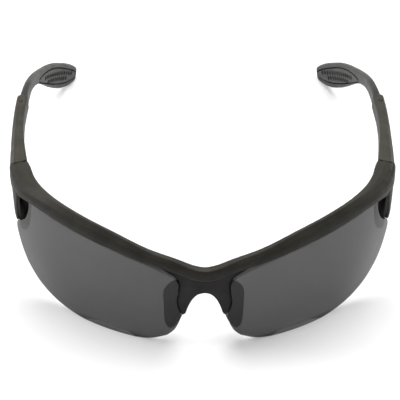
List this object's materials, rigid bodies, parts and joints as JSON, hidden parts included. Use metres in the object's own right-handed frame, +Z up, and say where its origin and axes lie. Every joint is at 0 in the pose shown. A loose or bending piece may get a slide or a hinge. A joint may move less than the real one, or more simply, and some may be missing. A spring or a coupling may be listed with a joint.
{
  "type": "safety glasses",
  "caption": "Wraparound half-frame safety glasses with smoke lenses, soft nose pads, side vents and folding temples with curved gripping tips.",
  "frame": {"origin": "centre of the glasses' footprint, on the surface they stand on with the temples open", "axes": "+Z up; the wearer looks along -Y, so the front is at -Y and the temples run back along +Y; +X is the wearer's left, the right side as seen from the front"},
  "size_m": [0.1504, 0.173, 0.0552],
  "materials": {
    "frame": "matt black, faintly olive, fine moulded grain",
    "bridge": "matt black, fine moulded grain",
    "lens": "smooth smoke-grey polycarbonate",
    "pad": "soft black rubber",
    "temple": "matt black, faintly olive, fine moulded grain",
    "tip": "satin dark grey",
    "grip": "soft black rubber with rows of dimples",
    "screw": "turned steel",
    "pin": "dark turned steel"
  },
  "bodies": {
    "front": {"front_frame": "frame", "nose_bridge": "bridge", "lens_right": "lens", "lens_left": "lens", "nose_pad_right": "pad", "nose_pad_left": "pad"},
    "right_temple": {"temple_right": "temple", "temple_tip_right": "tip", "grip_inlay_right": "grip", "hinge_screw_right": "screw", "tip_pin_right": "pin"},
    "left_temple": {"temple_left": "temple", "temple_tip_left": "tip", "grip_inlay_left": "grip", "hinge_screw_left": "screw", "tip_pin_left": "pin"}
  },
  "joints": [
    {"name": "right_temple_fold", "type": "hinge", "parent": "front", "child": "right_temple", "pos_m": [0.0697, -0.0347, 0.048], "axis": [0, 0, 1], "range_deg": [0, 87]},
    {"name": "left_temple_fold", "type": "hinge", "parent": "front", "child": "left_temple", "pos_m": [-0.0697, -0.0347, 0.048], "axis": [0, 0, -1], "range_deg": [0, 93]}
  ]
}
